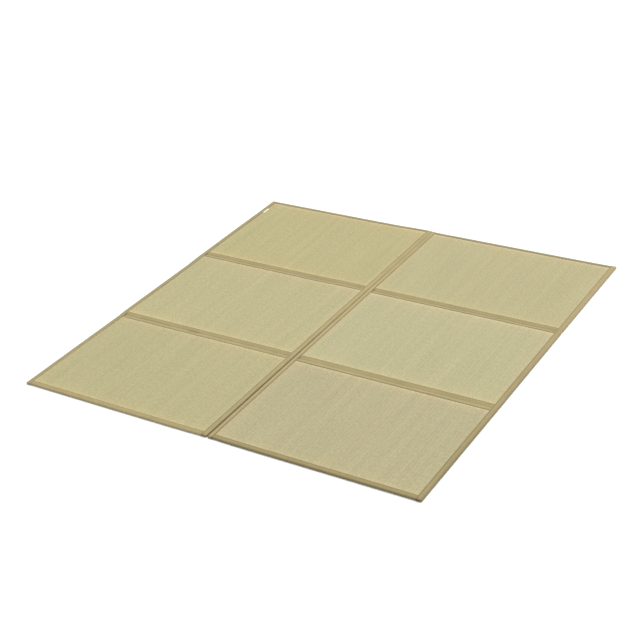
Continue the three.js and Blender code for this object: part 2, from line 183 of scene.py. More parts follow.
RUSH_YELLOW = (0.451, 0.381, 0.1995)
RUSH_GREEN = (0.394, 0.386, 0.205)
CLOTH_COLOUR = (0.368, 0.304, 0.143)
THREAD_COLOUR = (0.18, 0.138, 0.062)
LABEL_TONE = (2.15, 2.45, 3.5)
WARM_SHADE = (-1.0, -1.03, -1.15)  # how the colour's parts change under the painted shade on a tape
FOLD_SHADE_REACH = 0.0035
WALL_SHARE = 0.85  # of the nose's length, for the painted shade on the wall
TONE_CHANGE_Y = (-0.6, 0.6)  # where the tone of a tape along Y changes
STALK_PITCH = 0.0011  # from one visible stalk to the next
YARN_PITCH = {"tape": 0.0006, "label": 0.0005}
THREAD_TWIST = 0.0007
STALK_BUMP = {"distance": 0.00022, "strength": 0.6}
WEAVE_BUMP = {"distance": 0.00012, "strength": 0.5}
TWIST_BUMP = {"distance": 0.0001, "strength": 0.5}
PANEL_OFFSET = (3.7, 11.3)  # in the noise: the first panel's, and from each to the next
ABOVE_ZERO = 1000.0  # added to the ribs' numbers, so that none is below zero

# Ramps: a range of values, and the range that it gives
STALK_HUES = (0, 1, -0.08, 0.08)
STALK_TONES = (0, 1, 0.95, 1.05)
STALK_ROUGHNESS = (0, 1, 0.5, 0.68)
STALK_ARCH = (0, 0.3, 0.15, 1.0)  # across a rib, from its groove
# dust and painted shade, darkest in the groove between two ribs
GROOVE_DUST_AND_SHADE = (0, 0.14, 0.9, 1.0)
FLOOR_SHADE_TONES = (0.0, 0.0035, 0.75, 1.0)  # painted shade on a tape's wall, darker towards the floor, from the floor up
YARN_TONES = (-1, 1, 0.93, 1.07)
TWIST_TONES = (-1, 1, 0.8, 1.2)
TWIST_ROUGHNESS = (-1, 1, 0.6, 0.8)
CLOTH_ROUGHNESS = (0.82, 0.95)  # over the slubs' own range


class Mottle(NamedTuple):
    """Lumps in a surface: their sizes, the part of the noise's range that counts, and what it gives."""
    sizes: tuple
    span: tuple
    gives: tuple
    detail: float = 2.0
    rough: float = 0.5


RUSH_STREAKS = Mottle((0.028, 0.5, 1), (0.3, 0.7), (0.95, 1.05), detail=3.0, rough=0.6)
RUSH_GRAIN = Mottle((0.008, 0.015, 1), (0.35, 0.65), (0.93, 1.07))
RUSH_HUES = Mottle((0.05, 0.6, 1), (0.3, 0.7), (-0.12, 0.12))
CLOTH_SLUBS = Mottle((0.012, 0.012, 0.012), (0.3, 0.7), (0.94, 1.06), detail=3.0, rough=0.6)
CLOTH_PATCHES = Mottle((0.11, 0.11, 0.05), (0.3, 0.7), (0.96, 1.04))


class Paler(NamedTuple):
    """How much paler the rush is at an edge, how far in, and how the colour's three parts change."""
    amount: float
    reach: float
    change: tuple


# At the back end the paleness is partly a painted highlight, where the rush slopes towards the light.
PALE_AND_LIT_BACK = (Paler(0.07, 0.05, (1.0, 0.1, 0.3)), Paler(0.36, 0.009, (1.0, 0.88, 1.0)))
PALE_FRONT = (Paler(0.05, 0.06, (1.0, 0.6, 0.4)), Paler(0.22, 0.011, (1.0, 0.68, 0.6)))
PALE_SIDE = {"reach": 0.012, "change": (1.0, 0.5, 0.6)}


class Rush(NamedTuple):
    """A panel's rush: how green, its tone, and how much paler it is at its left and right side."""
    green: float
    tone: tuple
    sides: tuple = (0.14, 0.14)


PANEL_LOOKS = {
    ("left", "front"): Rush(0.62, (0.955, 0.932, 0.87), (0.24, 0.10)),
    ("left", "middle"): Rush(0.55, (0.978, 0.966, 0.905)),
    ("left", "back"): Rush(0.50, (0.957, 0.930, 0.80)),
    ("right", "front"): Rush(0.40, (0.905, 0.910, 0.918), (0.24, 0.06)),
    ("right", "middle"): Rush(0.45, (0.966, 0.987, 0.981)),
    ("right", "back"): Rush(0.35, (0.937, 0.948, 0.893)),
}


class Look(NamedTuple):
    """A tape's tone against the plain cloth, and how much darker some places on it are.

    The pairs are for its front and its back: the two ends of a tape that runs along Y, or the two
    sides of a hinge tape. end is for the closed front end of a side tape. The darker places are
    painted shade: along the stitches, on the walls, in the fold and on the closed end.
    """
    tones: tuple = ((1.0, 1.0, 1.0), (1.0, 1.0, 1.0))
    seams: tuple = (0.1, 0.1)
    walls: tuple = (0.0, 0.0)
    fold: float = 0.0
    end: float = 0.0
    seam_reach: float = 0.0022


def even(tone):
    return tone, tone


TAPE_LOOKS = {
    "left_outer": Look(even((0.89, 0.91, 0.965)), (0.0, 0.0)),
    "left_slit": Look(
        ((1.0, 1.0, 1.04), (1.17, 1.16, 1.2)), (0.2, 0.2), (0.32, 0.0), end=0.35, seam_reach=0.0035,
    ),
    # its bluer tone is partly a painted sheen of the sky
    "right_slit": Look(
        ((1.08, 1.07, 1.1), (1.2, 1.19, 1.22)), (0.35, 0.35), (0.5, 0.1), end=0.4, seam_reach=0.0035,
    ),
    "right_outer": Look(((0.92, 0.90, 0.90), (1.12, 1.08, 1.13)), (0.25, 0.2), (0.25, 0.0), end=0.6),
    "left_front": Look(even((1.0, 0.98, 0.98)), (0.0, 0.0)),
    "right_front": Look(even((0.87, 0.85, 0.83)), walls=(0.32, 0.32)),
    "left_back": Look(even((0.86, 0.90, 0.92))),
    "right_back": Look(even((0.83, 0.88, 0.96))),
    "join": Look(even((1.08, 1.08, 1.08)), (0.3, 0.3), fold=0.19),
    "left_hinge_1": Look(seams=(0.15, 0.08), fold=0.13),
    "left_hinge_2": Look(seams=(0.25, 0.1), fold=0.18),
    "right_hinge_1": Look(seams=(0.35, 0.17), fold=0.12),
    "right_hinge_2": Look(seams=(0.3, 0.1), fold=0.2),
}
# Where a fold is pinched: from, to, how much deeper and how much painted shade darkens it
PINCHES = {"left_hinge_1": ((-0.80, -0.62, 0.0006, 0.12), (-0.52, -0.467, 0.0012, 0.35))}
PINCH_FADE = 0.008

# The studio
FLOOR = {"half_size": 60.0, "z": -0.0002, "colour": (0.96, 0.96, 0.96), "lump": 0.4, "darkest": 0.995}
SKY_STRENGTH = 0.672
SUN = {"strength": 2.296, "angle": 45, "height": 4, "azimuth": 190, "elevation": 51}
CAMERA = {
    "sensor": 36, "lens": 77.72, "place": (2.7, -4.111, 2.8556),
    "azimuth": 33.897, "elevation": 29.936, "roll": -5.176,
}


# The uneven lie of the mat

def share(value, start, end):
    """Runs from 0 to 1 between two places."""
    return np.clip((value - start) / (end - start), 0, 1)


def bulge(distance, fade):
    return np.exp(-(distance / fade) ** 2)


def lie(x, y):
    """Where a place of the straight mat comes to lie on the uneven one."""
    x, y = np.broadcast_arrays(np.asarray(x, float), np.asarray(y, float))
    left = x < SEAM_X
    outward = np.where(left, -1.0, 1.0)
    reach = share(x, SEAM_X, outward * MAT_WIDTH / 2)
    slit_half = SLIT_OPENING / 2 * share(y, SLIT_END_Y, WIDEST_Y)
    drawn_in = [np.interp(y, *EDGE_DRAWN_IN[side]) for side in ("left", "right")]
    inward = np.where(left, *drawn_in)
    new_x = x + outward * (slit_half * (1 - reach) - inward * reach)
    fade = np.where(x < BACK_PROUD["x"], BACK_PROUD["left_fade"], BACK_PROUD["right_fade"])
    from_right = np.maximum(0, MAT_WIDTH / 2 - x)
    proud = BACK_PROUD["out"] * bulge(x - BACK_PROUD["x"], fade)
    proud = proud + BACK_CORNER_PROUD["out"] * np.exp(-from_right / BACK_CORNER_PROUD["fade"])
    from_left = np.maximum(0, MAT_WIDTH / 2 + x)
    drawn = FRONT_DRAWN_IN["by"] * bulge(x - SEAM_X, FRONT_DRAWN_IN["fade"])
    drawn = drawn + FRONT_CORNER_DRAWN_IN["by"] * np.exp(-from_left / FRONT_CORNER_DRAWN_IN["fade"])
    new_y = y + proud * share(y, BACK_PROUD["from"], BACK_Y)
    new_y = new_y + drawn * share(y, FRONT_DRAWN_IN["to"], FRONT_Y)
    for fold, width, drift in zip(HINGE_Y, HINGE_TAPE_WIDTH, FOLD_DRIFT):
        moved = drift["by"] * (1 - np.tanh((x - drift["x"]) / drift["over"])) / 2
        new_y = new_y + moved * share(np.abs(y - fold), DRIFT_REACH, width / 2)
    return new_x, new_y


def wavering(along, seed, longest, size):
    """A smooth, repeatable unevenness along a line: some sines, each shorter than the one before."""
    draw = np.random.default_rng(seed)
    total = np.zeros_like(along)
    for k in range(SINES["count"]):
        length = longest / SINES["shorter"] ** k
        start = draw.uniform(0, 2 * math.pi)
        total += np.sin(2 * math.pi * along / length + start) / SINES["lower"] ** k
    return size * total / 2


# Mesh building

def grid_faces(rows, columns):
    index = np.arange(rows * columns).reshape(rows, columns)
    corners = (index[:-1, :-1], index[:-1, 1:], index[1:, 1:], index[1:, :-1])
    return np.stack(corners, -1).reshape(-1, 4)


def grid_part(x, y, z):
    """Points and faces of a skin, from grids of places."""
    return np.stack([x, y, z], -1).reshape(-1, 3), grid_faces(*z.shape)


def slab_faces(rows, columns, sole_rows, sole_columns):
    """Faces between a grid of points above and one below, where the sole is a single face."""
    index = np.arange(rows * columns).reshape(rows, columns)
    r0, r1 = sole_rows
    c0, c1 = sole_columns
    below = []
    for i in range(rows - 1):
        for j in range(columns - 1):
            if not (r0 <= i < r1 and c0 <= j < c1):
                below.append((index[i, j], index[i + 1, j], index[i + 1, j + 1], index[i, j + 1]))
    ring = np.concatenate([
        index[r0, c0:c1], index[r0:r1, c1], index[r1, c1:c0:-1], index[r1:r0:-1, c0],
    ])
    below.append(ring[::-1])
    around = np.concatenate([index[0, :-1], index[:-1, -1], index[-1, :0:-1], index[:0:-1, 0]])
    count = rows * columns
    walls = [(a, b, b + count, a + count) for a, b in zip(around, np.roll(around, -1))]
    return [*grid_faces(rows, columns), *(np.asarray(face) + count for face in below), *walls]


def make(name, parts, material, shade=None):
    """One object from several lots of points and faces, welded where they meet."""
    points, faces, start = [], [], 0
    for part_points, part_faces in parts:
        points.append(part_points)
        faces.extend([[start + int(i) for i in face] for face in part_faces])
        start += len(part_points)
    mesh = bpy.data.meshes.new(name)
    mesh.from_pydata(np.concatenate(points), [], faces)
    if shade is not None:
        attribute = mesh.attributes.new("shade", "FLOAT", "POINT")
        attribute.data.foreach_set("value", np.concatenate(shade).astype(np.float32))
    shape = bmesh.new()
    shape.from_mesh(mesh)
    bmesh.ops.remove_doubles(shape, verts=shape.verts, dist=WELD)
    bmesh.ops.recalc_face_normals(shape, faces=shape.faces)
    shape.to_mesh(mesh)
    shape.free()
    mesh.materials.append(material)
    piece = bpy.data.objects.new(name, mesh)
    bpy.context.scene.collection.objects.link(piece)
    return piece


def smooth(piece):
    piece.data.polygons.foreach_set("use_smooth", [True] * len(piece.data.polygons))
    piece.data.set_sharp_from_angle(angle=SHARP_ANGLE)


def thicken(piece, thickness):
    """Gives a skin the thickness of its cloth, on the inner side."""
    modifier = piece.modifiers.new("thickness", "SOLIDIFY")
    modifier.thickness = thickness
    modifier.offset = -1
    modifier.use_even_offset = True
    made = piece.evaluated_get(bpy.context.evaluated_depsgraph_get())
    mesh = bpy.data.meshes.new_from_object(made)
    piece.modifiers.clear()
    old = piece.data
    piece.data = mesh
    bpy.data.meshes.remove(old)
    mesh.name = piece.name


def finish_piece(piece, node):
    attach(piece, "root")
    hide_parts(node)


# The forms that several pieces share

def field_range(column, row):
    """Where the rush shows between the tapes: x0, x1, y0, y1."""
    return (
        column["x"][0] + column["tapes"][0][1] + CLEARANCE,
        column["x"][1] - column["tapes"][1][1] - CLEARANCE,
        row["y"][0] + COVERED[row["y"][0]] + CLEARANCE,
        row["y"][1] - COVERED[row["y"][1]] - CLEARANCE,
    )


def steps(start, end, step):
    """Even places from start to end, about a step apart."""
    return np.linspace(start, end, max(2, int(round((end - start) / step)) + 1))


def nose(length=NOSE_LENGTH):
    """Distances from the edge over a quarter of the nose, with the share of the height there."""
    turn = np.linspace(0, math.pi / 2, NOSE_STEPS + 1)
    return length * (1 - np.cos(turn)), np.sin(turn)


def rounded(from_x, from_y, radius):
    """Rounds a corner: takes and gives the distances from its two edges."""
    a = np.clip(1 - from_x / radius, 0, 1)
    b = np.clip(1 - from_y / radius, 0, 1)
    near = (a > 0) & (b > 0)
    new_a = a * np.sqrt(1 - b * b / 2)
    new_b = b * np.sqrt(1 - a * a / 2)
    return (
        np.where(near, radius * (1 - new_a), from_x),
        np.where(near, radius * (1 - new_b), from_y),
    )


def seam_dip(from_edge):
    return SEAM_DIP * bulge(from_edge - SEAM_INSET, SEAM_REACH)


def seam_shade(from_edge, strength, look):
    """How much painted shade darkens the cloth along a row of stitches, where it dips."""
    return strength * bulge(from_edge - SEAM_INSET, look.seam_reach)


def crease_drop(crease, distance):
    wide = crease["depth"] * np.cos(math.pi / 2 * np.clip(distance / crease["reach"], -1, 1)) ** 2
    return wide + crease["pinch"] * bulge(distance, crease["pinch_reach"])


# Materials

class Finish:
    """A material with its shader, and short ways to add nodes to it."""

    def __init__(self, name):
        self.material = bpy.data.materials.new(name)
        self.material.use_nodes = True
        self.tree = self.material.node_tree
        self.shader = self.tree.nodes["Principled BSDF"]
        self.place = self.add("ShaderNodeTexCoord").outputs["Object"]
        self.x, self.y, self.z = self.add("ShaderNodeSeparateXYZ", Vector=self.place).outputs

    def add(self, kind, settings=None, **inputs):
        node = self.tree.nodes.new(kind)
        for name, value in (settings or {}).items():
            setattr(node, name, value)
        for name, value in inputs.items():
            self.put(node.inputs[name.replace("_", " ")], value)
        return node

    def put(self, socket, value):
        if isinstance(value, bpy.types.NodeSocket):
            self.tree.links.new(value, socket)
        else:
            socket.default_value = value

    def surface(self, **inputs):
        """Sets or links the shader's own inputs."""
        for name, value in inputs.items():
            self.put(self.shader.inputs[name.replace("_", " ")], value)

    def math(self, operation, a, b=0.0):
        node = self.add("ShaderNodeMath", {"operation": operation})
        for socket, value in zip(node.inputs, (a, b)):
            self.put(socket, value)
        return node.outputs[0]

    def product(self, first, *others):
        for other in others:
            first = self.math("MULTIPLY", first, other)
        return first

    def wave(self, along, length):
        """A sine, from -1 to 1."""
        return self.math("SINE", self.math("MULTIPLY", along, 2 * math.pi / length))

    def ramp(self, value, low, high, low_out, high_out):
        """Maps a value from one range to another and holds it there."""
        node = self.add("ShaderNodeMapRange")
        for socket, number in zip(node.inputs, (value, low, high, low_out, high_out)):
            self.put(socket, number)
        return node.outputs[0]

    def noise(self, mottle, offset=(0, 0, 0)):
        scale = tuple(1 / size for size in mottle.sizes)
        mapping = self.add("ShaderNodeMapping", Vector=self.place, Location=offset, Scale=scale)
        node = self.add(
            "ShaderNodeTexNoise",
            Vector=mapping.outputs[0], Scale=1.0, Detail=mottle.detail, Roughness=mottle.rough,
        )
        return node.outputs[0]

    def mottled(self, mottle, offset=(0, 0, 0)):
        return self.ramp(self.noise(mottle, offset), *mottle.span, *mottle.gives)

    def blend(self, factor, a, b):
        node = self.add("ShaderNodeMix", {"data_type": "RGBA"})
        self.put(node.inputs["Factor"], factor)
        self.put(node.inputs[6], a)
        self.put(node.inputs[7], b)
        return node.outputs[2]

    def brighten(self, colour, amount):
        """Multiplies a colour by a number."""
        node = self.add("ShaderNodeVectorMath", {"operation": "SCALE"}, Scale=amount)
        self.put(node.inputs[0], colour)
        return node.outputs[0]

    def tint(self, colour, amount, change):
        """Changes each of a colour's three parts by its share of an amount."""
        node = self.add("ShaderNodeVectorMath", {"operation": "MULTIPLY_ADD"})
        for socket, value in zip(node.inputs, (self.brighten(change, amount), colour, colour)):
            self.put(socket, value)
        return node.outputs[0]

    def decay(self, distance, length):
        """Falls off from 1 with the distance."""
        return self.math("EXPONENT", self.math("DIVIDE", distance, -length))

    def bump(self, height, distance, strength):
        return self.add("ShaderNodeBump", Height=height, Distance=distance, Strength=strength).outputs[0]


def toned(colour, tone):
    return (*(part * of_part for part, of_part in zip(colour, tone)), 1)


def pale_and_lit_ends(finish, colour, field, sides):
    """Rush paler towards its panel's edges: its own colour, with a painted highlight at the back end."""
    x0, x1, y0, y1 = field
    edges = [(finish.math("SUBTRACT", y1, finish.y), pale) for pale in PALE_AND_LIT_BACK]
    edges += [(finish.math("SUBTRACT", finish.y, y0), pale) for pale in PALE_FRONT]
    edges += [
        (finish.math("SUBTRACT", finish.x, x0), Paler(sides[0], **PALE_SIDE)),
        (finish.math("SUBTRACT", x1, finish.x), Paler(sides[1], **PALE_SIDE)),
    ]
    for distance, pale in edges:
        paler = finish.math("MULTIPLY", finish.decay(distance, pale.reach), pale.amount)
        colour = finish.tint(colour, paler, pale.change)
    return colour


def rush(name, look, offset, field):
    """Woven rush: stalks across the mat, passing over every other warp cord."""
    finish = Finish(name)
    rib_start = field[0] - RIB_PITCH / 2
    rib = finish.math("DIVIDE", finish.math("SUBTRACT", finish.x, rib_start), RIB_PITCH)
    across = finish.math("FRACT", rib)
    odd = finish.math("MODULO", finish.math("ADD", finish.math("FLOOR", rib), ABOVE_ZERO), 2.0)
    half_step = finish.math("MULTIPLY", odd, 0.5)
    stalk = finish.math("ADD", finish.math("DIVIDE", finish.y, STALK_PITCH), half_step)
    stalk_number = finish.math("ADD", finish.math("FLOOR", stalk), half_step)
    single = finish.add(
        "ShaderNodeTexWhiteNoise", {"noise_dimensions": "1D"}, W=finish.math("ADD", stalk_number, offset)
    ).outputs["Value"]
    from_middle = finish.math("ABSOLUTE", finish.math("SUBTRACT", across, 0.5))
    from_groove = finish.math("SUBTRACT", 0.5, from_middle)
    shift = (offset, 2 * offset, 0)

    hue = finish.math("ADD", look.green, finish.mottled(RUSH_HUES, shift))
    hue = finish.math("ADD", hue, finish.ramp(single, *STALK_HUES))
    hue = finish.math("MINIMUM", finish.math("MAXIMUM", hue, 0), 1)
    colour = finish.blend(hue, toned(RUSH_YELLOW, look.tone), toned(RUSH_GREEN, look.tone))
    # The rush's light: streaks, grain, each stalk's tone, and dust and painted shade in the grooves
    light = finish.product(
        finish.mottled(RUSH_STREAKS, shift),
        finish.mottled(RUSH_GRAIN, shift),
        finish.ramp(single, *STALK_TONES),
        finish.ramp(from_groove, *GROOVE_DUST_AND_SHADE),
    )
    roundness = finish.math("SINE", finish.math("MULTIPLY", finish.math("FRACT", stalk), math.pi))
    arch = finish.ramp(from_groove, *STALK_ARCH)
    finish.surface(
        Base_Color=pale_and_lit_ends(finish, finish.brighten(colour, light), field, look.sides),
        Normal=finish.bump(finish.math("MULTIPLY", roundness, arch), **STALK_BUMP),
        Roughness=finish.ramp(single, *STALK_ROUGHNESS),
        Specular_IOR_Level=0.35,
    )
    return finish.material


def cloth(name, tones, yarn_pitch=YARN_PITCH["tape"]):
    """Plain woven tape, with painted shade at its stitches, folds, walls and ends, and near the floor.
    """
    finish = Finish(name)
    to_back = finish.ramp(finish.y, *TONE_CHANGE_Y, 0, 1)
    base = finish.blend(to_back, *(toned(CLOTH_COLOUR, tone) for tone in tones))
    slubs = finish.noise(CLOTH_SLUBS)
    wave_x, wave_y, wave_z = (finish.wave(axis, yarn_pitch) for axis in (finish.x, finish.y, finish.z))
    weave = finish.math("MULTIPLY", wave_x, finish.math("ADD", wave_y, wave_z))
    # Painted shade, kept on the tape's points: at its stitches, folds, walls and ends
    shade = finish.add("ShaderNodeAttribute", {"attribute_name": "shade"}).outputs["Fac"]
    light = finish.product(
        finish.ramp(slubs, *CLOTH_SLUBS.span, *CLOTH_SLUBS.gives),
        finish.mottled(CLOTH_PATCHES),
        finish.ramp(finish.z, *FLOOR_SHADE_TONES),
        finish.ramp(weave, *YARN_TONES),
    )
    finish.surface(
        Base_Color=finish.brighten(finish.tint(base, shade, WARM_SHADE), light),
        Normal=finish.bump(weave, **WEAVE_BUMP),
        Roughness=finish.ramp(slubs, *CLOTH_SLUBS.span, *CLOTH_ROUGHNESS),
        Specular_IOR_Level=0.25,
        Sheen_Weight=0.1,
    )
    return finish.material


def thread(name):
    """Twisted sewing thread."""
    finish = Finish(name)
    twist = finish.wave(finish.math("ADD", finish.x, finish.y), THREAD_TWIST)
    finish.surface(
        Base_Color=finish.brighten(THREAD_COLOUR, finish.ramp(twist, *TWIST_TONES)),
        Normal=finish.bump(twist, **TWIST_BUMP),
        Roughness=finish.ramp(twist, *TWIST_ROUGHNESS),
    )
    return finish.material


# Stitches

def spindle():
    """Points and faces of one stitch, along X, of length and radius 1."""
    points = [(-0.5, 0.0, 0.0)]
    for along, radius in STITCH_RINGS:
        for k in range(STITCH_SIDES):
            turn = 2 * math.pi * k / STITCH_SIDES
            points.append((along, radius * math.cos(turn), radius * math.sin(turn)))
    points.append((0.5, 0.0, 0.0))
    first = 1
    last = first + STITCH_SIDES * (len(STITCH_RINGS) - 1)
    tip = last + STITCH_SIDES
    faces = []
    for k in range(STITCH_SIDES):
        after = (k + 1) % STITCH_SIDES
        faces.append((0, first + after, first + k))
        for ring in range(first, last, STITCH_SIDES):
            faces.append((ring + k, ring + after, ring + STITCH_SIDES + after, ring + STITCH_SIDES + k))
        faces.append((last + k, last + after, tip))
    return np.array(points), faces


def seam_path(x, y):
    """A row of stitches on top of a tape, along places of the straight mat."""
    new_x, new_y = lie(x, y)
    return np.stack([new_x, new_y, np.full_like(new_x, MAT_HEIGHT - SEAM_DIP + STITCH["rise"])], -1)


def stitches(name, paths, material):
    """Rows of stitches along paths of points, as one object."""
    template, template_faces = spindle()
    parts = []
    for path in paths:
        lengths = np.linalg.norm(np.diff(path, axis=0), axis=1)
        run = np.concatenate([[0], np.cumsum(lengths)])
        count = int(run[-1] / STITCH["pitch"])
        for k in range(count):
            middle = (k + 0.5) * run[-1] / count
            ends = [middle - STITCH["length"] / 2, middle, middle + STITCH["length"] / 2]
            near = np.array([[np.interp(e, run, path[:, axis]) for axis in range(3)] for e in ends])
            along = near[2] - near[0]
            along = along / np.linalg.norm(along)
            aside = np.array([-along[1], along[0], 0])
            aside = aside / np.linalg.norm(aside)
            up = np.cross(along, aside)
            points = (
                near[1]
                + template[:, :1] * STITCH["length"] * along
                + template[:, 1:2] * STITCH["radius"] * aside
                + template[:, 2:] * STITCH["radius"] * up
            )
            parts.append((points, template_faces))
    piece = make(name, parts, material)
    smooth(piece)
    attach(piece, "root")
    return piece


# Panels

def bound_lines(edge, inward, inner, length=NOSE_LENGTH):
    """Lines of the rim under a folded tape, as panel_lines gives them, from the edge inwards."""
    from_edge, height = (values[::2] for values in nose(length))
    rim = RIM_INSET + from_edge * (length - RIM_INSET) / length
    return [(edge + inward * d, h, False) for d, h in zip(rim, height)] + [(inner, 1.0, False)]


def hinged_lines(joint, inward, inner):
    """Lines of the rim under a hinge tape, as panel_lines gives them, from the joint inwards."""
    places = [joint + inward * (HINGE_GAP / 2 + d) for d in JOINT_LINES] + [inner]
    return [(place, 1.0, False) for place in places]


def panel_lines(column, row, field):
    """A panel's mesh lines along Y, then those along X.

    Each line has its straight place, its share of the rim's height, and whether it is in the field.
    """
    x0, x1, y0, y1 = field
    ribs = int(round((x1 - x0) / RIB_PITCH)) + 1
    in_ribs = x0 - RIB_PITCH / 2 + RIB_PITCH * (np.arange(ribs)[:, None] + RIB_LINES[None, :])
    sides = [
        bound_lines(edge, inward, inner, tape[2])
        for edge, inward, inner, tape in zip(column["x"], INWARD, (x0, x1), column["tapes"])
    ]
    ends = [
        (bound_lines if bound else hinged_lines)(edge, inward, inner)
        for edge, inward, inner, bound in zip(row["y"], INWARD, (y0, y1), row["bound"])
    ]
    in_field_x = [(x, 1.0, True) for x in (x0, *in_ribs.ravel(), x1)]
    in_field_y = [(y, 1.0, True) for y in steps(y0, y1, ROW_STEP)]
    return sides[0] + in_field_x + sides[1][::-1], ends[0] + in_field_y + ends[1][::-1]


def rounded_corners(x, y, column, row, field):
    """Rounds a panel's outer corners, where two bound edges meet."""
    sign_x = np.where(x < (field[0] + field[1]) / 2, 1, -1)
    edge_x = np.where(sign_x > 0, *column["x"])
    for bound, edge_y, sign_y in zip(row["bound"], row["y"], INWARD):
        if bound:
            gap_x, gap_y = rounded(
                (x - edge_x) * sign_x - RIM_INSET,
                (y - edge_y) * sign_y - RIM_INSET,
                CORNER_RADIUS - RIM_INSET,
            )
            x = edge_x + sign_x * (gap_x + RIM_INSET)
            y = edge_y + sign_y * (gap_y + RIM_INSET)
    return x, y


def rib_height(x, start):
    """Soft ribs over the warp cords, with narrow valleys between them."""
    across = (x - start) / RIB_PITCH
    from_groove = 0.5 - np.abs(across - np.floor(across) - 0.5)
    groove = -RIB["groove"] * bulge(from_groove, RIB["groove_reach"])
    return groove + RIB["crown"] * np.sin(math.pi * from_groove)


def field_height(x, y, x_limits, y_limits, start, seed):
    """The ribbed rush between the tapes, pressed down beside them."""
    height = FIELD_HEIGHT + rib_height(x, start)
    for which, to_edge in (
        ("side", np.minimum(x - x_limits[0], x_limits[1] - x)),
        ("near", y - y_limits[0]),
        ("far", y_limits[1] - y),
    ):
        height = height - PRESSED[which] * np.exp(-to_edge / PRESSED["over"])
    height = height + wavering(y + RIPPLE_SLANT * x, seed, *RIPPLE_ALONG)
    return height + wavering(x, seed + NEXT_SEED["field"], *RIPPLE_ACROSS)


def rim_height(x, y, rim):
    """The top of a panel's rim under the tapes, pressed down at the folds and at the seam."""
    height = MIDDLE_Z + rim
    for hinge in HINGE_Y:
        height = height - RIM_UNDER_CREASE * crease_drop(CREASE, y - hinge)
    join_drop = RIM_UNDER_CREASE * crease_drop(JOIN_CREASE, x - SEAM_X)
    return height - np.where(y > SLIT_END_Y, join_drop, 0)


def panel(side, row_name, material):
    """A rush panel: the ribbed field, and the rim that the tapes are folded over."""
    column = COLUMNS[side]
    row = ROWS[row_name]
    field = x0, x1, y0, y1 = field_range(column, row)
    lines_x, lines_y = panel_lines(column, row, field)
    place_x, share_x, in_x = (np.array(values)[None, :] for values in zip(*lines_x))
    place_y, share_y, in_y = (np.array(values)[:, None] for values in zip(*lines_y))
    straight_x, straight_y = rounded_corners(*np.broadcast_arrays(place_x, place_y), column, row, field)

    x, y = lie(straight_x, straight_y)
    x_limits = [lie(np.full_like(straight_x, edge), straight_y)[0] for edge in (x0, x1)]
    y_limits = [lie(straight_x, edge)[1] for edge in (y0, y1)]
    run_x = in_x & (place_x != x0) & (place_x != x1)
    run_y = in_y & (place_y != y0) & (place_y != y1)
    x = np.where(run_x, np.clip(straight_x, *x_limits), x)
    y = np.where(run_y, np.clip(straight_y, *y_limits), y)

    seed = len(side) * 10 + len(row_name)
    rim = RIM_HALF * share_x * share_y
    top = np.where(
        in_x & in_y,
        field_height(x, y, x_limits, y_limits, x0 - RIB_PITCH / 2, seed),
        rim_height(straight_x, straight_y, rim),
    )

    # Where the panel rests on the floor: under the field, the joints and the seam
    sole_x = in_x & np.ones_like(in_y)
    if row_name == "back":
        seam_side = (straight_x > x1) if side == "left" else (straight_x < x0)
        sole_x = sole_x | (seam_side & (straight_y > SLIT_END_Y) & (share_x == 1))
    sole_y = in_y
    if not row["bound"][0]:
        sole_y = sole_y | (place_y < y0)
    if not row["bound"][1]:
        sole_y = sole_y | (place_y > y1)
    bottom = np.where(sole_x & sole_y, 0.0, MIDDLE_Z - rim)

    points = np.concatenate([np.stack([x, y, z], -1).reshape(-1, 3) for z in (top, bottom)])
    sole_rows, sole_columns = (np.nonzero(values)[0][[0, -1]] for values in (sole_y[:, 0], in_x[0]))
    faces = slab_faces(*top.shape, sole_rows, sole_columns)
    piece = make(f"rush_{side}_{row_name}", [(points, faces)], material)
    smooth(piece)
    finish_piece(piece, f"panel_{side}_{row_name}")


# Tapes

def across_tape(width, length=NOSE_LENGTH):
    """Distances from the nose to a tape's inner edge, closer together round its stitches."""
    flat = np.linspace(length, width - SEAM_INSET - SEAM_LINES_REACH, FLAT_LINES)[1:]
    return np.concatenate([flat, width - SEAM_INSET + SEAM_LINES, [width - CUT_EDGE_LINE, width]])


def cut_edge(from_edge):
    return np.where(from_edge < CUT_EDGE["reach"], CUT_EDGE["drop"], 0.0)


def tape_top(distance, width, along, seed):
    """How far the top of a tape lies below its highest level."""
    edge = np.where(distance > width - CUT_EDGE["reach"], CUT_EDGE["drop"], 0.0)
    slack = wavering(along, seed, *SLACK_WAVER) + SLACK
    arch = np.sin(math.pi * np.clip(distance / width, 0, 1))
    return seam_dip(width - distance) + edge + slack * arch


def tape_piece(name, node, parts, shades):
    """A tape from its skin: gives it its cloth, its thickness and its place in the mat."""
    piece = make(f"cloth_{name}", parts, cloth(f"binding_{name}", TAPE_LOOKS[name].tones), shades)
    thicken(piece, TAPE_THICKNESS)
    smooth(piece)
    finish_piece(piece, node)
    return piece


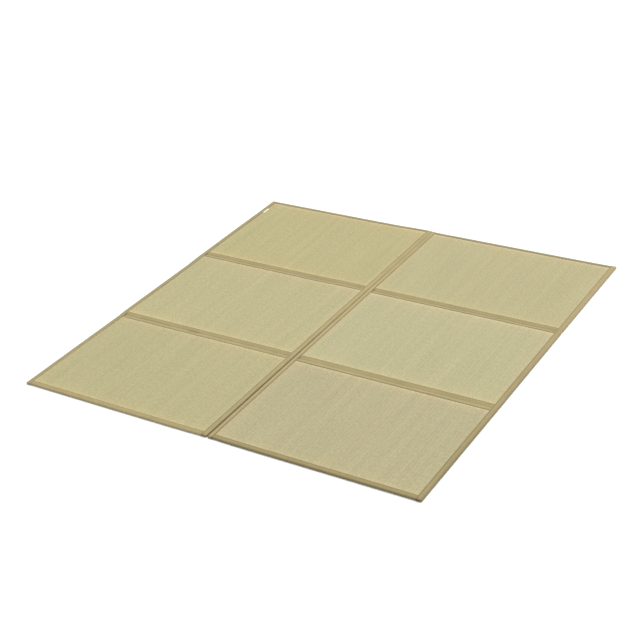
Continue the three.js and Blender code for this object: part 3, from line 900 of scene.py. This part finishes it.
def side_tape(side, which, thread_material):
    """A tape folded round a long edge of a column.

    Its ends are closed, but for the slit tapes' back ends, which meet the join tape.
    """
    column = COLUMNS[side]
    edge_x = column["x"][which]
    inward = INWARD[which]
    tape, width, length = column["tapes"][which]
    name = f"{side}_{tape}"
    look = TAPE_LOOKS[name]
    slit = tape == "slit"
    end_y = SLIT_END_Y if slit else TAPE_BACK_Y

    from_side, height_across = nose(length)
    across = np.concatenate([from_side, across_tape(width, length)])
    share_across = np.concatenate([height_across, np.ones(len(across) - len(height_across))])
    from_end, height_along = nose()
    front = TAPE_FRONT_Y + from_end
    back = [] if slit else (TAPE_BACK_Y - from_end)[::-1]
    middle = steps(front[-1], end_y if slit else back[0], TAPE_STEP)[1:]
    places = np.concatenate([front, middle, back[1:]])
    back_share = [] if slit else height_along[::-1][1:]
    share_along = np.concatenate([height_along, np.ones(len(middle)), back_share])

    along, distance = np.meshgrid(places, across, indexing="ij")
    tall = share_along[:, None] * share_across[None, :]
    gap_x, gap_y = rounded(distance, along - TAPE_FRONT_Y, CORNER_RADIUS)
    if not slit:
        gap_x, gap_back = rounded(gap_x, TAPE_BACK_Y - along, CORNER_RADIUS)
        gap_y = np.where(along > 0, TAPE_BACK_Y - gap_back - TAPE_FRONT_Y, gap_y)
    x, y = lie(edge_x + inward * gap_x, TAPE_FRONT_Y + gap_y)
    seed = SEEDS["side"] + 10 * len(side) + which
    waver = wavering(along, seed + NEXT_SEED["edge"], *EDGE_WAVER)
    x = x - inward * waver * np.where(distance < width - STILL["folded"], 1, 0)
    drop = share(tall, TOP_SHARE, 1) * tape_top(distance, width, along, seed)
    upper, faces = grid_part(x, y, MIDDLE_Z + MIDDLE_Z * tall - drop)
    lower, _ = grid_part(x, y, MIDDLE_Z - MIDDLE_Z * tall)

    # Painted shade: on the wall, on the closed front end and along the stitches
    seam, wall = (np.interp(along, TONE_CHANGE_Y, pair) for pair in (look.seams, look.walls))
    end_shade = look.end * bulge(along - TAPE_FRONT_Y, WALL_SHARE * NOSE_LENGTH)
    wall_shade = np.maximum(wall * bulge(distance, WALL_SHARE * length), end_shade)
    top_shade = wall_shade + seam_shade(width - distance, seam, look)
    piece = tape_piece(
        name, f"tape_{name}", [(upper, faces), (lower, faces[:, ::-1])],
        [top_shade.ravel(), wall_shade.ravel()],
    )
    last_y = end_y - UNSEWN["open" if slit else "closed"]
    seam_y = steps(TAPE_FRONT_Y + UNSEWN["closed"], last_y, TAPE_STEP / 2)
    path = seam_path(edge_x + inward * (width - SEAM_INSET), seam_y)
    sewn = stitches(f"stitches_{name}", [path], thread_material)


def folded_strip(name, node, edge_y, width, x_places, thread_material, seed, end_y=None):
    """A tape folded round the front or back edge. The join tape runs on to end_y, with a crease."""
    inward = 1 if edge_y < 0 else -1
    look = TAPE_LOOKS[name]
    join = end_y is not None
    reach = abs(edge_y - end_y) if join else width
    from_edge, height = nose()
    on_top = np.concatenate([
        np.linspace(NOSE_LENGTH, width, FLAT_LINES)[1:], steps(width, reach, TAPE_STEP)[1:],
    ]) if join else across_tape(width)
    distance = np.concatenate([on_top[::-1], from_edge[::-1], from_edge[1:], [width / 2, width]])
    level = np.concatenate([np.ones(len(on_top)), height[::-1], -height[1:], [-1, -1]])

    x_grid, distance_grid = np.meshgrid(x_places, distance, indexing="xy")
    level_grid = np.broadcast_to(level[:, None], x_grid.shape)
    top_grid = level_grid > TOP_SHARE
    x, y = lie(x_grid, edge_y + inward * distance_grid)
    if join:
        from_side = np.minimum(x_grid - x_places[0], x_places[-1] - x_grid)
        drop = seam_dip(from_side) + crease_drop(JOIN_CREASE, x_grid - SEAM_X)
        drop = drop * np.clip(distance_grid / NOSE_LENGTH, 0, 1)
        # Painted shade along the stitches and in the crease
        fold_shade = look.fold * bulge(x_grid - SEAM_X, FOLD_SHADE_REACH)
        shade = seam_shade(from_side, look.seams[0], look) + fold_shade
    else:
        drop = tape_top(distance_grid, width, x_grid, seed) * (level_grid == 1)
        shade = seam_shade(width - distance_grid, look.seams[0], look)
    z = MIDDLE_Z + MIDDLE_Z * level_grid - np.where(top_grid, drop, 0)
    # Painted shade on the tape's wall
    wall_shade = look.walls[0] * bulge(distance_grid, WALL_SHARE * NOSE_LENGTH) * (level_grid > -1)
    shade = np.where(top_grid, shade, 0) + wall_shade
    waver = wavering(x_grid, seed + NEXT_SEED["edge"], *EDGE_WAVER)
    y = y - inward * waver * (distance_grid < width - STILL["folded"])
    piece = tape_piece(name, node, [grid_part(x, y, z)], [shade.ravel()])

    if join:
        seam_y = np.linspace(end_y + UNSEWN["join"], edge_y - NOSE_LENGTH, JOIN_SEAM_POINTS)
        seams_x = (x_places[0] + SEAM_INSET, x_places[-1] - SEAM_INSET)
        paths = [seam_path(seam_x, seam_y) for seam_x in seams_x]
    else:
        seam_x = steps(x_places[0] + UNSEWN["open"], x_places[-1] - UNSEWN["open"], TAPE_STEP / 2)
        paths = [seam_path(seam_x, edge_y + inward * (width - SEAM_INSET))]
    sewn = stitches(f"stitches_{name}", paths, thread_material)


def hinge_tape(side, number, thread_material):
    """A flat tape over the joint of two panels, pressed down along its crease."""
    name = f"{side}_hinge_{number}"
    look = TAPE_LOOKS[name]
    width = HINGE_TAPE_WIDTH[number - 1]
    fold = HINGE_Y[number - 1]
    x0, x1 = field_range(COLUMNS[side], ROWS["middle"])[:2]
    half = width / 2
    far_half = np.concatenate([FOLD_LINES, half - SEAM_INSET + SEAM_LINES, [half - CUT_EDGE_LINE, half]])
    offsets = np.concatenate([-far_half[:0:-1], far_half])
    x_grid, offset = np.meshgrid(steps(x0, x1, TAPE_STEP), offsets, indexing="xy")
    x, y = lie(x_grid, fold + offset)
    seed = SEEDS["hinge"] + 10 * len(side) + number
    from_side = half - np.abs(offset)
    uneven = 1 + wavering(x_grid, seed, *CREASE_WAVER)
    z = MAT_HEIGHT - seam_dip(from_side) - cut_edge(from_side) - crease_drop(CREASE, offset) * uneven
    # Painted shade along the stitches and in the crease, wavering along the tape
    shade = seam_shade(from_side, np.where(offset < 0, *look.seams), look)
    shade = shade * (1 + wavering(x_grid, seed + NEXT_SEED["shade"], *SHADE_WAVER))
    shade = shade + look.fold * bulge(offset, FOLD_SHADE_REACH)
    # A pinched fold is deeper there, with more painted shade
    for start, end, deeper, darker in PINCHES.get(name, ()):
        pinched = (np.tanh((x_grid - start) / PINCH_FADE) - np.tanh((x_grid - end) / PINCH_FADE)) / 2
        pinched = pinched * bulge(offset, CREASE["pinch_reach"])
        z = z - deeper * pinched
        shade = shade + darker * pinched
    waver = wavering(x_grid, seed + NEXT_SEED["hinge_edge"], *HINGE_WAVER)
    y = y + waver * (from_side > STILL["hinge"])
    piece = tape_piece(name, f"hinge_tape_{side}_{number}", [grid_part(x, y, z)], [shade.ravel()])
    seam_x = steps(x0 + UNSEWN["open"], x1 - UNSEWN["open"], TAPE_STEP / 2)
    paths = [seam_path(seam_x, fold + sign * (half - SEAM_INSET)) for sign in (-1, 1)]
    sewn = stitches(f"stitches_{name}", paths, thread_material)


def label(material):
    """A bare label of woven tape, folded once and sewn in beside the outer tape."""
    x0 = COLUMNS["left"]["x"][0] + TAPE_WIDTH + CLEARANCE
    width = LABEL["width"]
    loop = LABEL_CLOTH["loop"]
    low = LABEL_CLOTH["off_rush"]
    turn = np.linspace(-math.pi / 2, math.pi / 2, LABEL_LINES["turn"])
    layer = np.linspace(0, width - loop, LABEL_LINES["layer"])[:-1]
    across = np.concatenate([layer, width - loop + loop * np.cos(turn), layer[::-1]])
    up = np.concatenate([
        np.full(len(layer), low), low + loop * (1 + np.sin(turn)), np.full(len(layer), low + 2 * loop),
    ])
    places = steps(-LABEL["length"] / 2, LABEL["length"] / 2, LABEL_STEP)
    along, across_grid = np.meshgrid(places, across, indexing="ij")
    lift = LABEL_LIFT["size"] * (across_grid / width) * (1 + np.sin(along * LABEL_LIFT["radians"]))
    x, y = lie(x0 + across_grid, LABEL["middle_y"] + along)
    z = FIELD_HEIGHT + CLEARANCE + up[None, :] * LABEL_CLOTH["pressed"] + lift
    piece = make("label_tape", [grid_part(x, y, z)], material, [np.zeros(along.size)])
    thicken(piece, LABEL_CLOTH["thickness"])
    smooth(piece)
    finish_piece(piece, "label")


# The floor, the light and the camera

def floor():
    size = FLOOR["half_size"]
    mesh = bpy.data.meshes.new("floor")
    corners = [(-size, -size, 0), (size, -size, 0), (size, size, 0), (-size, size, 0)]
    mesh.from_pydata(corners, [], [(0, 1, 2, 3)])
    plane = bpy.data.objects.new("floor", mesh)
    bpy.context.scene.collection.objects.link(plane)
    plane.location.z = FLOOR["z"]
    finish = Finish("floor_paint")
    lumps = Mottle((FLOOR["lump"],) * 3, (0, 1), (FLOOR["darkest"], 1.0))
    finish.surface(
        Base_Color=finish.brighten(FLOOR["colour"], finish.mottled(lumps)),
        Roughness=1.0,
        Specular_IOR_Level=0.0,
    )
    mesh.materials.append(finish.material)


def aim(obj, place, azimuth, elevation, roll=0.0):
    """Turns an object's -Z along a view whose azimuth 0 looks along +Y, from above by the elevation."""
    a, e = math.radians(azimuth), math.radians(elevation)
    forward = Vector((-math.sin(a) * math.cos(e), math.cos(a) * math.cos(e), -math.sin(e)))
    right = Vector((math.cos(a), math.sin(a), 0))
    right.rotate(Matrix.Rotation(-math.radians(roll), 3, forward))
    up = right.cross(forward)
    turn = Matrix((right, up, -forward)).transposed()
    obj.matrix_world = Matrix.Translation(place) @ turn.to_4x4()


def light():
    world = bpy.data.worlds.new("studio")
    world.use_nodes = True
    back = world.node_tree.nodes["Background"]
    back.inputs["Color"].default_value = (1, 1, 1, 1)
    back.inputs["Strength"].default_value = SKY_STRENGTH
    bpy.context.scene.world = world
    data = bpy.data.lights.new("softbox", "SUN")
    data.energy = SUN["strength"]
    data.angle = math.radians(SUN["angle"])
    lamp = bpy.data.objects.new("softbox", data)
    bpy.context.scene.collection.objects.link(lamp)
    aim(lamp, (0, 0, SUN["height"]), SUN["azimuth"], SUN["elevation"])


def camera():
    data = bpy.data.cameras.new("camera")
    data.sensor_width = CAMERA["sensor"]
    data.lens = CAMERA["lens"]
    obj = bpy.data.objects.new("camera", data)
    bpy.context.scene.collection.objects.link(obj)
    aim(obj, CAMERA["place"], CAMERA["azimuth"], CAMERA["elevation"], CAMERA["roll"])
    bpy.context.scene.camera = obj


# The whole mat, in its studio

label_cloth = cloth("label_weave", even(LABEL_TONE), YARN_PITCH["label"])
sewing_thread = thread("sewing_thread")

for count, ((side, row_name), look) in enumerate(PANEL_LOOKS.items()):
    offset = PANEL_OFFSET[0] + PANEL_OFFSET[1] * count
    field = field_range(COLUMNS[side], ROWS[row_name])
    panel(side, row_name, rush(f"woven_rush_{side}_{row_name}", look, offset, field))

for side, column in COLUMNS.items():
    for which in (0, 1):
        side_tape(side, which, sewing_thread)
    x0, x1 = field_range(column, ROWS["front"])[:2]
    folded_strip(f"{side}_front", f"tape_{side}_front", FRONT_Y, END_TAPE_WIDTH["front"],
                 steps(x0, x1, TAPE_STEP), sewing_thread, SEEDS["front"] + len(side))
    if side == "left":
        x1 = JOIN_X[0] - CLEARANCE
    else:
        x0 = JOIN_X[1] + CLEARANCE
    folded_strip(f"{side}_back", f"tape_{side}_back", BACK_Y, END_TAPE_WIDTH["back"],
                 steps(x0, x1, TAPE_STEP), sewing_thread, SEEDS["back"] + len(side))
    for number in (1, 2):
        hinge_tape(side, number, sewing_thread)

join_lines = np.concatenate([
    SEAM_X + FOLD_LINES, SEAM_X - FOLD_LINES, JOIN_X[0] + JOIN_EDGE_LINES, JOIN_X[1] - JOIN_EDGE_LINES,
])
folded_strip("join", "join_tape", BACK_Y, END_TAPE_WIDTH["back"], np.unique(np.round(join_lines, 6)),
             sewing_thread, SEEDS["join"], end_y=SLIT_END_Y + CLEARANCE)
label(label_cloth)

floor()
light()
camera()
bpy.context.scene.view_settings.view_transform = "Standard"
